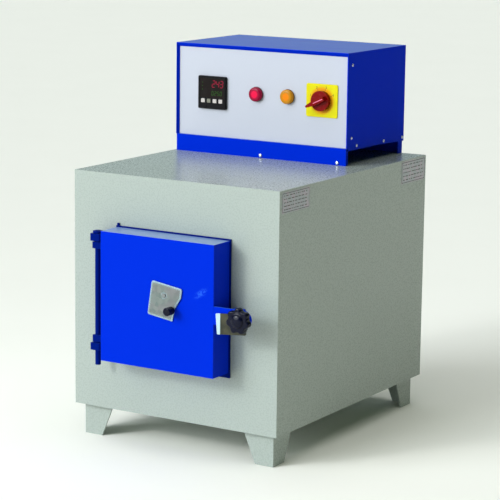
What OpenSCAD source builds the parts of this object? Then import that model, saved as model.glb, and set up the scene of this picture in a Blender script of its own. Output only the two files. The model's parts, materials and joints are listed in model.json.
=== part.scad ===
// Electric muffle kiln on four legs: insulated cabinet, side-hinged door with a
// quarter-turn latch and a swinging sight-hole cover, and a control box on top.
// Millimetres, +Z up, front faces -Y. Modules are drawn with Y = 0 at the
// cabinet's front face and X = 0 on the chamber's axis; place() then centres
// the whole object over the origin.

/* [Cabinet] */
// Width of the cabinet
body_w = 460; // [440:1:500]
// Depth of the cabinet, front panel to rear panel
body_d = 585; // [560:1:640]
// Height of the cabinet without its legs
body_h = 463; // [450:1:500]
// Thickness of the painted sheet steel
sheet = 1.5; // [1:0.1:2]

/* [Legs] */
// Height of the legs
leg_h = 62; // [50:1:90]
// Distance from the cabinet's sides to the legs
leg_inset = 14; // [8:1:25]
// Width of a leg's flange at the top
leg_top_w = 66; // [55:1:75]
// Width of a leg's flange at the floor
leg_foot_w = 40; // [25:1:50]
// Thickness of a leg's folded plate
leg_t = 3; // [2:0.5:4]

/* [Chamber] */
// Clear width and height of the heated chamber
chamber_w = 150; // [130:1:160]
// Usable depth of the chamber behind the door plug
chamber_d = 315; // [250:1:330]
// Height of the chamber's axis above the floor
chamber_z = 298; // [290:1:306]
// Wall thickness of the ceramic muffle
muffle_t = 12; // [8:1:14]
// Turns in the heating element
coil_turns = 14; // [8:1:18]

/* [Door] */
// Width of the door
door_w = 254; // [240:1:270]
// Height of the door
door_h = 251; // [240:1:260]
// Distance from the cabinet's front to the door's front
door_front = 57; // [50:1:65]
// Radius of the hinge rod
rod_r = 5.5; // [4:0.5:6]
// Radial running clearance of pins and shafts
running = 0.05; // [0.02:0.01:0.08]

/* [Latch] */
// Distance from the chamber's axis to the latch spindle
latch_x = 189; // [186:1:192]
// Radius of the star knob
latch_knob_r = 24.5; // [20:0.5:26]
// Lobes round the star knob
latch_lobes = 7; // [5:1:9]

/* [Sight cover] */
// Width of the sight-hole cover
flap_side = 68; // [60:1:70]
// Tilt at which the cover hangs, clockwise from the front
flap_tilt = 8.4; // [8:0.1:9]
// Radius of the sight hole
sight_r = 10; // [6:1:11]

/* [Control box] */
// Height of the control box's top above the cabinet's top
box_h = 222; // [200:1:240]
// Depth of the control box
box_d = 242; // [230:1:260]
// Left side of the control box, measured from the chamber's axis
box_left = -226; // [-228:1:-220]
// Right side of the control box, measured from the chamber's axis
box_right = 176; // [170:1:190]
// Height of the open gap under the control box
box_gap = 30; // [20:1:35]

/* [Controls] */
// Width of the temperature controller's front
ctrl_w = 66; // [64:1:72]
// Height of the temperature controller's front
ctrl_h = 67; // [64:1:70]
// Travel of a controller key
key_travel = 0.8; // [0.4:0.1:1]
// Radius of the pilot lamps' bezels
lamp_r = 15; // [12:0.5:16]
// Width of the selector switch's plate
switch_w = 71; // [64:1:74]
// Radius of the selector knob
selector_r = 20; // [16:0.5:22]

/* [Hidden] */

round_fn = 64;
fit_gap = 0.5;

// Cabinet
half_w = body_w / 2;
cab_z0 = leg_h;
cab_z1 = leg_h + body_h;

// Insulation and muffle
lining_x = half_w - sheet - fit_gap;
lining_z0 = cab_z0 + 8;
lining_z1 = cab_z1 - sheet - fit_gap;
brick_y0 = sheet + fit_gap;
brick_y1 = 62;
plug_depth = 35;
muffle_half = chamber_w / 2 + muffle_t;
muffle_y1 = plug_depth + 1 + chamber_d + muffle_t;
cavity_half = muffle_half + 20;
rear_brick_t = 155;
rear_y0 = muffle_y1 + fit_gap;
rear_y1 = rear_y0 + rear_brick_t;

// Heating element
coil_wire = 5;
coil_half = muffle_half + coil_wire;
coil_y0 = brick_y1 + 18;
coil_pitch = (muffle_y1 - 20 - coil_y0) / (coil_turns - 1);
tail_x = coil_half + 6.5;
tail_r = 3;
tail_z = [chamber_z - 80, chamber_z - 40];
tail_y1 = rear_y1 + 34;
block_t = 22;

// Thermocouple
probe_z = chamber_z + 45;
probe_r = 4;
probe_y0 = muffle_y1 - muffle_t - 50;
probe_y1 = rear_y1 + 30;

// Hinge
rod_x = -153;
rod_y = -31;
rod_z0 = 156;
rod_z1 = 419;
lug_w = 24;
lug_h = 14;
lug_front = 42;
lug_z = [186, 399];
collar_r = 9.5;

// Door
door_x = -1;
door_z0 = chamber_z - door_h / 2;
door_z1 = chamber_z + door_h / 2;
door_l = door_x - door_w / 2;
door_r = door_x + door_w / 2;
back_y0 = -3.5;
back_y1 = -0.8;
plug_half = chamber_w / 2 - 2;
plug_taper = 14;
plug_back_half = plug_half - plug_taper;
tube_r = sight_r + 2.5;

// Latch
latch_z = 292.5;
strap_t = 5;
strap_z0 = 275;
strap_z1 = 309;
plate_t = 3;
spindle_r = 4;
knob_y0 = -door_front - plate_t - 0.4;
hub_l = 3;
head_l = 14;
knob_front = knob_y0 - hub_l - head_l;
cap_l = 4.5;
tongue_y0 = -47;
tongue_t = 4;
tongue_l = 23;
keeper_z0 = 275;
keeper_z1 = 298;
keeper_x1 = 160;

// Sight cover
flap_t = 2.5;
flap_y1 = -door_front - 0.4;
flap_y0 = flap_y1 - flap_t;
flap_h = flap_side - 2;
flap_cut = [[flap_side, 18], [flap_side - 10, 40], [flap_side - 12, flap_h]];
flap_corner = [-9, 343.4];
flap_pivot = [30.80, 22];
flap_knob_at = [54, 44];
flap_x = flap_corner[0] + flap_pivot[0] * cos(flap_tilt) - flap_pivot[1] * sin(flap_tilt);
flap_z = flap_corner[1] - flap_pivot[0] * sin(flap_tilt) - flap_pivot[1] * cos(flap_tilt);
flap_knob_r = 8;
flap_knob_l = 21.5;
pivot_r = 3;

// Control box
box_front = 346;
box_rear = box_front + box_d;
box_z0 = cab_z1 + box_gap;
box_z1 = cab_z1 + box_h;
cover_t = 1.2;
lip = 8;
fascia_y = box_front + 6;
fascia_z0 = box_z0 + 4;
fascia_z1 = box_z1 - 6;
base_l = box_left + cover_t + fit_gap;
base_r = box_right - cover_t - fit_gap;
rear_sheet_y = box_rear - 3;

// Controls
ctrl_x = -139.4;
ctrl_z = 649;
ctrl_proud = 6;
ctrl_front = fascia_y - ctrl_proud;
key_w = 9;
key_h = 8;
key_l = 4.2;
key_proud = 1;
key_floor = key_l - key_proud + key_travel + 0.6;
key_play = 0.3;
key_pitch = 14;
key_z = ctrl_z - 17;
window_w = 58;
window_h = 40;
window_z = ctrl_z + 9;
lamp_x = [-36, 37];
lamp_z = 652.5;
lamp_flange_t = 1.5;
switch_x = 115.5;
switch_z = 650;
selector_y1 = fascia_y - 2.6;
selector_rest = 245;
pointer_l = 29;
shaft_r = 3;

// Rear services
gland_x = -120;
gland_z = 610;
gland_bore_r = 5.5;
gland_rear = rear_sheet_y + sheet + 22;
bush_x = 60;
bush_y = 548;
bush_r = 11;

// The object's middle, which place() puts over the origin
label_t = 0.6;
front_most = knob_front - cap_l;
x_mid = label_t / 2;
y_mid = (front_most + gland_rear) / 2;

GREY = [0.75, 0.80, 0.79];
BLUE = [0.00, 0.18, 0.92];
BRICK = [0.93, 0.90, 0.82];
CERAMIC = [0.95, 0.94, 0.90];
STEEL = [0.72, 0.74, 0.76];
ZINC = [0.66, 0.70, 0.66];
BLACK = [0.06, 0.06, 0.07];
BRASS = [0.80, 0.65, 0.30];

module place() {
    translate([-x_mid, -y_mid, 0]) children();
}

// A box given by its lowest and highest corners
module span(lo, hi) {
    translate(lo) cube(hi - lo);
}

// A cylinder along Y from y0 to y1
module rod_along_y(x, z, y0, y1, r, fn = round_fn) {
    translate([x, y0, z]) rotate([-90, 0, 0]) cylinder(h = y1 - y0, r = r, $fn = fn);
}

// A cylinder along X from x0 to x1
module rod_along_x(y, z, x0, x1, r) {
    translate([x0, y, z]) rotate([0, 90, 0]) cylinder(h = x1 - x0, r = r, $fn = 24);
}

// A flat rectangle centred on the origin with round corners
module round_rect(w, h, r) {
    square([w - 2 * r, h], center = true);
    square([w, h - 2 * r], center = true);
    for (sx = [-1, 1], sz = [-1, 1])
        translate([sx * (w / 2 - r), sz * (h / 2 - r)]) circle(r = r, $fn = 32);
}

// An outline in X and Z pushed from y0 back to y1
module panel(y0, y1) {
    translate([0, y1, 0]) rotate([90, 0, 0]) linear_extrude(y1 - y0) children();
}

// A pan-head screw, with its head towards -Y
module screw_front(x, y, z, length = 8) {
    rod_along_y(x, z, y - 2, y, 3.6);
    rod_along_y(x, z, y, y + length, 1.9);
}

// ---------- Cabinet ----------

// Sides and top in one bent sheet, with flanges that the rear panel screws to
module shell() {
    flange = 20;
    inner = half_w - sheet;
    color(GREY) difference() {
        span([-half_w, sheet, cab_z0], [half_w, body_d - sheet, cab_z1]);
        span([-inner, 0, cab_z0 - 1], [inner, body_d - 2 * sheet, cab_z1 - sheet]);
        span([-inner + flange, 0, cab_z0 - 1], [inner - flange, body_d, cab_z1 - sheet]);
        span([-inner, 0, cab_z0 - 1], [inner, body_d, cab_z0 + sheet]);
        translate([bush_x, bush_y, cab_z1 - 5]) cylinder(h = 10, r = bush_r, $fn = round_fn);
        for (p = rear_screws) rod_along_y(p[0], p[1], body_d - 5, body_d + 1, 1.9);
    }
}

module front_panel() {
    mouth = muffle_half + 2;
    color(GREY) difference() {
        span([-half_w, 0, cab_z0], [half_w, sheet, cab_z1]);
        span([-mouth, -1, chamber_z - mouth], [mouth, sheet + 1, chamber_z + mouth]);
        keeper_screw_places() rod_along_y(0, 0, -1, 3, 1.9);
    }
}

// Places of the rear panel's screws, in X and Z
rear_screws = [for (sx = [-1, 1], z = [cab_z0 + 15, cab_z0 + 160, cab_z0 + 305, cab_z1 - 15])
    [sx * (half_w - 12), z]];

module rear_panel() {
    slot_w = 70;
    slot_h = 4;
    color(GREY) difference() {
        span([-half_w, body_d - sheet, cab_z0], [half_w, body_d, cab_z1]);
        for (sx = [-1, 1], row = [0:5])
            translate([sx * 90 - slot_w / 2, body_d - 3, cab_z1 - 60 - row * 14])
                cube([slot_w, 5, slot_h]);
        for (p = rear_screws) rod_along_y(p[0], p[1], body_d - 5, body_d + 1, 1.9);
    }
}

// Places of the leg bolts, measured from a leg's outer corner
bolt_places = [[18, 46], [46, 18]];

// Repeats its children at each leg bolt of each leg
module at_leg_bolts() {
    for (sx = [-1, 1], sy = [0, 1], p = bolt_places)
        translate([
            sx * (half_w - leg_inset - p[0]),
            sy == 0 ? leg_inset + p[1] : body_d - leg_inset - p[1],
            0
        ]) children();
}

module base_pan() {
    color(GREY) difference() {
        span([-half_w + sheet, sheet, cab_z0], [half_w - sheet, body_d - sheet, cab_z0 + sheet]);
        at_leg_bolts() translate([0, 0, cab_z0 - 1]) cylinder(h = 4, r = 3.2, $fn = 32);
    }
}

// One folded leg in the +X +Y corner, its outer corner at the origin
module leg() {
    outline = [[0, 0], [leg_foot_w, 0], [leg_top_w, leg_h], [0, leg_h]];
    difference() {
        union() {
            translate([0, leg_t, 0]) rotate([90, 0, 0]) linear_extrude(leg_t) polygon(outline);
            mirror([1, -1, 0]) translate([0, leg_t, 0]) rotate([90, 0, 0])
                linear_extrude(leg_t) polygon(outline);
            translate([leg_t, leg_t, leg_h - leg_t])
                cube([leg_top_w - leg_t, leg_top_w - leg_t, leg_t]);
        }
        for (p = bolt_places)
            translate([p[0], p[1], leg_h - leg_t - 1]) cylinder(h = leg_t + 2, r = 3.2, $fn = 32);
    }
}

// A leg at one corner: side -1 is left and 1 is right, end 0 is front and 1 is rear
module leg_at(side, end) {
    color(GREY)
        translate([side * (half_w - leg_inset), end == 0 ? leg_inset : body_d - leg_inset, 0])
            mirror([side == 1 ? 1 : 0, 0, 0])
                mirror([0, end == 1 ? 1 : 0, 0])
                    leg();
}

module leg_bolts() {
    color(STEEL) at_leg_bolts() {
        translate([0, 0, leg_h - leg_t - 4]) cylinder(h = 4, r = 5.7, $fn = 6);
        translate([0, 0, leg_h - leg_t]) cylinder(h = 9, r = 3, $fn = 32);
        translate([0, 0, cab_z0 + sheet]) cylinder(h = 5, r = 5.7, $fn = 6);
    }
}

// ---------- Lining, muffle and heating ----------

module front_brick() {
    hole = muffle_half + fit_gap;
    color(BRICK) difference() {
        span([-lining_x, brick_y0, lining_z0], [lining_x, brick_y1, lining_z1]);
        span([-hole, 0, chamber_z - hole], [hole, brick_y1 + 1, chamber_z + hole]);
    }
}

module insulation_sides() {
    color(BRICK) for (side = [0, 1]) mirror([side, 0, 0])
        span([cavity_half, brick_y1 + fit_gap, lining_z0], [lining_x, muffle_y1, lining_z1]);
}

module insulation_top() {
    color(BRICK) span(
        [-cavity_half + fit_gap, brick_y1 + fit_gap, chamber_z + cavity_half],
        [cavity_half - fit_gap, muffle_y1, lining_z1]);
}

module insulation_bottom() {
    color(BRICK) span(
        [-cavity_half + fit_gap, brick_y1 + fit_gap, lining_z0],
        [cavity_half - fit_gap, muffle_y1, chamber_z - cavity_half]);
}

module insulation_rear() {
    color(BRICK) difference() {
        span([-lining_x, rear_y0, lining_z0], [lining_x, rear_y1, lining_z1]);
        for (z = tail_z) rod_along_y(tail_x, z, rear_y0 - 1, rear_y1 + 1, 7);
        rod_along_y(0, probe_z, rear_y0 - 1, rear_y1 + 1, probe_r + 1);
    }
}

module muffle() {
    inner = chamber_w / 2;
    color(CERAMIC) difference() {
        span([-muffle_half, brick_y0 + fit_gap, chamber_z - muffle_half],
            [muffle_half, muffle_y1, chamber_z + muffle_half]);
        span([-inner, 0, chamber_z - inner],
            [inner, muffle_y1 - muffle_t, chamber_z + inner]);
        rod_along_y(0, probe_z, muffle_y1 - muffle_t - 1, muffle_y1 + 1, probe_r + 0.3);
    }
}

// A square turn of element strip round the muffle
module coil_turn(y) {
    inner = coil_half - coil_wire;
    difference() {
        span([-coil_half, y, chamber_z - coil_half],
            [coil_half, y + coil_wire, chamber_z + coil_half]);
        span([-inner, y - 1, chamber_z - inner],
            [inner, y + coil_wire + 1, chamber_z + inner]);
    }
}

module heating_coil() {
    last_y = coil_y0 + (coil_turns - 1) * coil_pitch;
    tail_from = [coil_y0, last_y];
    color(STEEL) {
        for (i = [0:coil_turns - 1]) coil_turn(coil_y0 + i * coil_pitch);
        for (i = [0:coil_turns - 2]) {
            side = i % 2 == 0 ? -1 : 1;
            translate([side * 40 - coil_wire / 2, coil_y0 + i * coil_pitch + 1,
                chamber_z + coil_half - coil_wire])
                cube([coil_wire, coil_pitch + 2, coil_wire]);
        }
        for (i = [0:1]) {
            span([coil_half - 1, tail_from[i], tail_z[i] - 2],
                [tail_x, tail_from[i] + coil_wire, tail_z[i] + 2]);
            rod_along_y(tail_x, tail_z[i], tail_from[i], tail_y1, tail_r);
        }
    }
}

// A ceramic block whose two sleeves carry the element's tails through the insulation
module terminal_block() {
    mid_z = (tail_z[0] + tail_z[1]) / 2;
    color(CERAMIC) difference() {
        union() {
            span([tail_x - 14, rear_y1, mid_z - 36], [tail_x + 14, rear_y1 + block_t, mid_z + 36]);
            for (z = tail_z) rod_along_y(tail_x, z, rear_y0, rear_y1 + 1, 6.5);
        }
        for (z = tail_z) rod_along_y(tail_x, z, rear_y0 - 1, rear_y1 + block_t + 1, tail_r + 0.2);
    }
}

module terminal_nuts() {
    color(BRASS) for (z = tail_z) difference() {
        rod_along_y(tail_x, z, rear_y1 + block_t, rear_y1 + block_t + 8, 7, 6);
        rod_along_y(tail_x, z, rear_y1 + block_t - 1, rear_y1 + block_t + 9, tail_r);
    }
}

module thermocouple_sheath() {
    color(CERAMIC) difference() {
        rod_along_y(0, probe_z, probe_y0, probe_y1, probe_r);
        rod_along_y(0, probe_z, probe_y0 + 6, probe_y1 + 1, 2.5);
    }
}

module thermocouple_head() {
    color(STEEL) difference() {
        union() {
            rod_along_y(0, probe_z, rear_y1, rear_y1 + 3, 22);
            rod_along_y(0, probe_z, rear_y1, probe_y1, 8);
            rod_along_y(0, probe_z, rear_y1 + 14, probe_y1 + 14, 17);
        }
        rod_along_y(0, probe_z, rear_y1 - 1, probe_y1, probe_r);
    }
}

// ---------- Fittings on the cabinet ----------

module hinge_lugs() {
    color(BLUE) for (z = lug_z) difference() {
        translate([rod_x, -lug_front / 2, z]) linear_extrude(lug_h) {
            round_rect(lug_w, lug_front, 4);
            translate([-lug_w / 2, 0]) square([lug_w, lug_front / 2]);
        }
        translate([rod_x, rod_y, z - 1])
            cylinder(h = lug_h + 2, r = rod_r + running, $fn = round_fn);
    }
}

// Puts its children at the keeper's two screws
module keeper_screw_places() {
    for (z = [keeper_z0 + 5, keeper_z1 - 5]) translate([keeper_x1 - 8, 0, z]) children();
}

module latch_keeper() {
    leg_x = 138;
    leg_t = 4;
    color(BLUE) difference() {
        union() {
            span([leg_x, -3, keeper_z0], [keeper_x1, 0, keeper_z1]);
            span([leg_x, tongue_y0 - 4.5, keeper_z0], [leg_x + leg_t, 0, keeper_z1]);
            span([leg_x, tongue_y0 - 4.5, keeper_z0], [174, tongue_y0 - 0.8, keeper_z1]);
        }
        keeper_screw_places() rod_along_y(0, 0, -4, 1, 1.9);
    }
}

module data_plates() {
    color(ZINC) {
        span([half_w, 8, cab_z1 - 43], [half_w + label_t, 108, cab_z1 - 4]);
        span([half_w, 478, cab_z1 - 48], [half_w + label_t, 580, cab_z1 - 3]);
    }
}

// Side screws of the control box, in Y and Z
box_screws = [[363, box_z1 - 24], [364, box_z0 + 24], [386, box_z0 + 7], [500, box_z0 + 4],
    [581, box_z0 + 3]];

// Front screws of the control box's base, in X
base_screws = [-22, 155];

module panel_screws() {
    color(STEEL) {
        for (p = rear_screws)
            mirror([0, 1, 0]) screw_front(p[0], -body_d, p[1]);
        for (x = base_screws) screw_front(x, box_front, cab_z1 + 5, 6);
        for (p = box_screws) {
            rod_along_x(p[0], p[1], box_right, box_right + 1.6, 3.2);
            rod_along_x(p[0], p[1], box_right - 5, box_right, 1.5);
            rod_along_x(p[0], p[1], box_left - 1.6, box_left, 3.2);
            rod_along_x(p[0], p[1], box_left, box_left + 5, 1.5);
        }
        keeper_screw_places() {
            rod_along_y(0, 0, -5, -3, 3.4);
            rod_along_y(0, 0, -3, 1.8, 1.9);
        }
    }
}

// ---------- Control box ----------

module control_base() {
    plate_z = box_z0 - sheet;
    flange_z1 = box_z0 + 12;
    return_front = 8;
    return_rear = 18;
    color(BLUE) difference() {
        union() {
            span([base_l, box_front, plate_z], [base_r, rear_sheet_y, box_z0]);
            span([base_l, box_front, cab_z1], [base_r, box_front + sheet, fascia_z0]);
            span([base_l, box_front, fascia_z0 - sheet], [base_r, fascia_y + 3, fascia_z0]);
            span([base_l, body_d - sheet, cab_z1], [base_r, body_d, box_z0]);
            for (x = [base_l, base_r - sheet]) {
                span([x, box_front, cab_z1], [x + sheet, box_front + return_front, box_z0]);
                span([x, body_d - return_rear, cab_z1], [x + sheet, body_d, box_z0]);
                span([x, fascia_y + sheet + 1, plate_z], [x + sheet, rear_sheet_y, flange_z1]);
            }
        }
        for (x = base_screws) rod_along_y(x, cab_z1 + 5, box_front - 1, box_front + 8, 1.9);
        cover_screw_holes();
        translate([bush_x, bush_y, plate_z - 1]) cylinder(h = 4, r = bush_r, $fn = round_fn);
    }
}

// The holes that the control box's side screws pass through
module cover_screw_holes() {
    for (p = box_screws) {
        rod_along_x(p[0], p[1], box_left - 1, box_left + 6, 1.5);
        rod_along_x(p[0], p[1], box_right - 6, box_right + 1, 1.5);
    }
}

module control_cover() {
    side_outline = [[box_front, box_z0 + 4], [box_rear, box_z0 - 5], [box_rear, box_z1],
        [box_front, box_z1]];
    color(BLUE) difference() {
        union() {
            for (x = [box_left, box_right - cover_t])
                translate([x, 0, 0]) rotate([90, 0, 90]) linear_extrude(cover_t)
                    polygon(side_outline);
            span([box_left, box_front, box_z1 - cover_t], [box_right, box_rear, box_z1]);
            translate([0, 0, box_z0 + 4]) linear_extrude(box_z1 - box_z0 - 4) {
                polygon([[box_left, box_front], [box_left + lip - 3, fascia_y - 0.6],
                    [box_left + lip - 3 - cover_t, fascia_y - 0.6], [box_left, box_front + 1.5]]);
                polygon([[box_right, box_front], [box_right - lip + 3, fascia_y - 0.6],
                    [box_right - lip + 3 + cover_t, fascia_y - 0.6], [box_right, box_front + 1.5]]);
            }
            translate([box_left, 0, 0]) rotate([90, 0, 90]) linear_extrude(box_right - box_left)
                polygon([[box_front, box_z1], [box_front, box_z1 - 1.5],
                    [fascia_y - 0.6, box_z1 - lip], [fascia_y - 0.6, box_z1 - lip + 1.5]]);
        }
        cover_screw_holes();
    }
}

// Outline in X and Z at a place
module outline_at(x, z) {
    translate([x, z]) children();
}

module fascia() {
    color([0.90, 0.91, 0.94]) panel(fascia_y, fascia_y + sheet) difference() {
        translate([base_l, fascia_z0]) square([base_r - base_l, fascia_z1 - fascia_z0]);
        outline_at(ctrl_x, ctrl_z) square([ctrl_w - 3, ctrl_h - 3], center = true);
        for (x = lamp_x) outline_at(x, lamp_z) circle(r = 11.2, $fn = round_fn);
        outline_at(switch_x, switch_z) circle(r = 8, $fn = round_fn);
    }
}

module control_rear_panel() {
    color(BLUE) difference() {
        span([base_l, rear_sheet_y, box_z0 + 0.2],
            [base_r, rear_sheet_y + sheet, box_z1 - cover_t - fit_gap]);
        rod_along_y(gland_x, gland_z, rear_sheet_y - 1, rear_sheet_y + 3, 10);
        for (row = [0:4]) translate([20, rear_sheet_y - 1, box_z1 - 60 - row * 14])
            cube([90, 4, 4]);
    }
}

// Repeats its children at each controller key
module at_key(i) {
    translate([ctrl_x + (i - 1.5) * key_pitch, 0, key_z]) children();
}

module controller_body() {
    pocket_w = key_w / 2 + key_play;
    pocket_h = key_h / 2 + key_play;
    color(BLACK) difference() {
        union() {
            panel(ctrl_front, fascia_y) outline_at(ctrl_x, ctrl_z) round_rect(ctrl_w, ctrl_h, 3);
            span([ctrl_x - ctrl_w / 2 + 2, fascia_y - 1, ctrl_z - ctrl_h / 2 + 2],
                [ctrl_x + ctrl_w / 2 - 2, fascia_y + 78, ctrl_z + ctrl_h / 2 - 2]);
        }
        span([ctrl_x - window_w / 2, ctrl_front - 1, window_z - window_h / 2],
            [ctrl_x + window_w / 2, ctrl_front + 1.5, window_z + window_h / 2]);
        for (i = [0:3]) at_key(i)
            span([-pocket_w, ctrl_front - 1, -pocket_h],
                [pocket_w, ctrl_front + key_floor, pocket_h]);
    }
}

module controller_window() {
    color([0.15, 0.05, 0.05]) span(
        [ctrl_x - window_w / 2, ctrl_front + 0.5, window_z - window_h / 2],
        [ctrl_x + window_w / 2, ctrl_front + 1.5, window_z + window_h / 2]);
}

module controller_key(i) {
    color([0.8, 0.8, 0.78]) at_key(i)
        panel(ctrl_front - key_proud, ctrl_front - key_proud + key_l) round_rect(key_w, key_h, 1);
}

module lamp_bodies() {
    color(BLACK) for (x = lamp_x) {
        rod_along_y(x, lamp_z, fascia_y - lamp_flange_t, fascia_y, lamp_r);
        rod_along_y(x, lamp_z, fascia_y - 1, fascia_y + 42, 11);
        rod_along_y(x, lamp_z, fascia_y + sheet, fascia_y + sheet + 5, 15, 6);
    }
}

// A lens with a bevelled rim, seated on a lamp's flange
module lens(x) {
    profile = [[0, 0], [lamp_r - 0.6, 0], [lamp_r - 0.6, 4], [lamp_r - 5, 9], [0, 9]];
    translate([x, fascia_y - lamp_flange_t, lamp_z]) rotate([90, 0, 0])
        rotate_extrude($fn = round_fn) polygon(profile);
}

module switch_plate() {
    color([0.95, 0.80, 0.10]) panel(fascia_y - 2, fascia_y) difference() {
        outline_at(switch_x, switch_z) round_rect(switch_w, switch_w - 5, 4);
        outline_at(switch_x, switch_z) circle(r = 8, $fn = round_fn);
    }
}

module switch_body() {
    color(BLACK) difference() {
        union() {
            span([switch_x - 26, fascia_y + sheet, switch_z - 26],
                [switch_x + 26, fascia_y + 64, switch_z + 26]);
            rod_along_y(switch_x, switch_z, fascia_y - 2, fascia_y + sheet + 1, 7.5);
        }
        rod_along_y(switch_x, switch_z, fascia_y - 3, fascia_y + 30, shaft_r + running);
    }
}

module selector_shaft() {
    color(STEEL) rod_along_y(switch_x, switch_z, selector_y1 - 8, fascia_y + 28, shaft_r);
}

// A disc with a raised grip, whose long end is the pointer
module selector_knob() {
    disc_y0 = selector_y1 - 9;
    grip_y0 = disc_y0 - 10;
    grip = [[-4.5, -15], [4.5, -15], [4.5, 14], [2, pointer_l], [-2, pointer_l], [-4.5, 14]];
    color([0.85, 0.05, 0.05]) difference() {
        union() {
            rod_along_y(switch_x, switch_z, disc_y0, selector_y1, selector_r);
            translate([switch_x, 0, switch_z]) rotate([0, selector_rest, 0])
                panel(grip_y0, disc_y0 + 1) polygon(grip);
        }
        rod_along_y(switch_x, switch_z, selector_y1 - 8, selector_y1 + 1, shaft_r);
    }
}

module din_rail() {
    color(ZINC) difference() {
        span([-150, 470, box_z0], [60, 505, box_z0 + 7.5]);
        span([-151, 475, box_z0 + 1], [61, 500, box_z0 + 8]);
    }
}

module contactor() {
    color(BLACK) {
        span([-120, 462, box_z0 + 7.5], [-75, 513, box_z0 + 90]);
        span([-60, 466, box_z0 + 7.5], [40, 509, box_z0 + 45]);
    }
}

module cable_gland() {
    y0 = rear_sheet_y;
    color(BLACK) difference() {
        union() {
            rod_along_y(gland_x, gland_z, y0 - 9, y0 + sheet, 10);
            rod_along_y(gland_x, gland_z, y0 - 6, y0, 14, 6);
            rod_along_y(gland_x, gland_z, y0 + sheet, y0 + sheet + 7, 14, 6);
            rod_along_y(gland_x, gland_z, y0 + sheet + 7, gland_rear - 4, 11);
            translate([gland_x, gland_rear - 4, gland_z]) rotate([-90, 0, 0])
                cylinder(h = 4, r1 = 11, r2 = 8, $fn = round_fn);
        }
        rod_along_y(gland_x, gland_z, y0 - 10, gland_rear + 1, gland_bore_r);
    }
}

module lead_bush() {
    z0 = cab_z1 - sheet - 8;
    z1 = box_z0 + 8;
    color(BLACK) translate([bush_x, bush_y, 0]) difference() {
        union() {
            translate([0, 0, z0]) cylinder(h = z1 - z0, r = bush_r, $fn = round_fn);
            translate([0, 0, cab_z1]) cylinder(h = 4, r = bush_r + 4, $fn = round_fn);
            translate([0, 0, box_z0]) cylinder(h = 4, r = bush_r + 4, $fn = round_fn);
        }
        translate([0, 0, z0 - 1]) cylinder(h = z1 - z0 + 2, r = 8, $fn = round_fn);
    }
}

// ---------- Door ----------

module door_pan() {
    color(BLUE) difference() {
        span([door_l, -door_front, door_z0], [door_r, back_y0, door_z1]);
        span([door_l + sheet, -door_front + sheet, door_z0 + sheet],
            [door_r - sheet, 0, door_z1 - sheet]);
        rod_along_y(0, chamber_z, -door_front - 1, -door_front + 3, tube_r);
        rod_along_y(flap_x, flap_z, -door_front - 1, -door_front + 3, pivot_r);
    }
}

module door_back_plate() {
    hole = plug_half + 1;
    color(BLUE) difference() {
        union() {
            span([door_l - 2, back_y0, door_z0 - 10], [door_r + 3, back_y1, door_z1 + 3]);
            span([door_l, back_y0, door_z1], [door_l + 5, back_y1, door_z1 + 8]);
        }
        span([-hole, back_y0 - 1, chamber_z - hole], [hole, 0, chamber_z + hole]);
    }
}

module door_insulation() {
    gap = sheet + fit_gap;
    color(BRICK) difference() {
        span([door_l + gap, -door_front + gap + 10, door_z0 + gap],
            [door_r - gap, back_y0 - fit_gap, door_z1 - gap]);
        rod_along_y(0, chamber_z, -door_front, 0, tube_r + 0.2);
    }
}

// The plug's sides draw in towards its back so that it can swing out of the mouth
module door_plug() {
    front_y = back_y0 - fit_gap;
    straight_y = back_y1 + 1;
    side = [[-plug_half, front_y], [-plug_half, straight_y], [-plug_back_half, plug_depth],
        [plug_back_half, plug_depth], [plug_half, straight_y], [plug_half, front_y]];
    color(BRICK) difference() {
        intersection() {
            translate([0, 0, chamber_z - plug_half]) linear_extrude(2 * plug_half) polygon(side);
            translate([-plug_half, 0, chamber_z]) rotate([90, 0, 90])
                linear_extrude(2 * plug_half) polygon([for (p = side) [p[1], p[0]]]);
        }
        rod_along_y(0, chamber_z, -10, plug_depth + 1, tube_r + 0.2);
    }
}

module hinge_rod() {
    color(STEEL) translate([rod_x, rod_y, rod_z0])
        cylinder(h = rod_z1 - rod_z0, r = rod_r, $fn = round_fn);
}

// Tabs that join the rod to the door's side, above the lower lug and under the upper one
module hinge_tabs() {
    tab_h = 13;
    color(BLUE) for (z = [lug_z[0] + lug_h + 2.2, lug_z[1] - tab_h - 2]) difference() {
        span([rod_x - 8, rod_y - 7, z], [door_l, rod_y + 7, z + tab_h]);
        translate([rod_x, rod_y, z - 1]) cylinder(h = tab_h + 2, r = rod_r, $fn = round_fn);
    }
}

module hinge_collars() {
    color(STEEL) for (z = [[lug_z[0] + lug_h + 0.2, 2], [lug_z[1] + lug_h + 0.2, 5]]) difference() {
        translate([rod_x, rod_y, z[0]]) cylinder(h = z[1], r = collar_r, $fn = round_fn);
        translate([rod_x, rod_y, z[0] - 1]) cylinder(h = z[1] + 2, r = rod_r, $fn = round_fn);
    }
}

module latch_strap() {
    end_r = (strap_z1 - strap_z0) / 2;
    mid_z = (strap_z0 + strap_z1) / 2;
    color(BLUE) panel(-door_front, -door_front + strap_t) difference() {
        union() {
            translate([door_r, strap_z0]) square([latch_x - door_r, strap_z1 - strap_z0]);
            translate([latch_x, mid_z]) circle(r = end_r, $fn = round_fn);
        }
        translate([latch_x, latch_z]) circle(r = spindle_r + running, $fn = round_fn);
    }
}

module latch_plate() {
    plate_w = 62;
    plate_h = 39;
    tilt = 5;
    color(ZINC) difference() {
        translate([latch_x - 24, -door_front, latch_z - 11.5]) rotate([0, -tilt, 0])
            translate([0, -plate_t, 0]) panel(0, plate_t) round_rect(plate_w, plate_h, 2);
        rod_along_y(latch_x, latch_z, -door_front - plate_t - 1, 0, spindle_r + running);
    }
}

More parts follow.
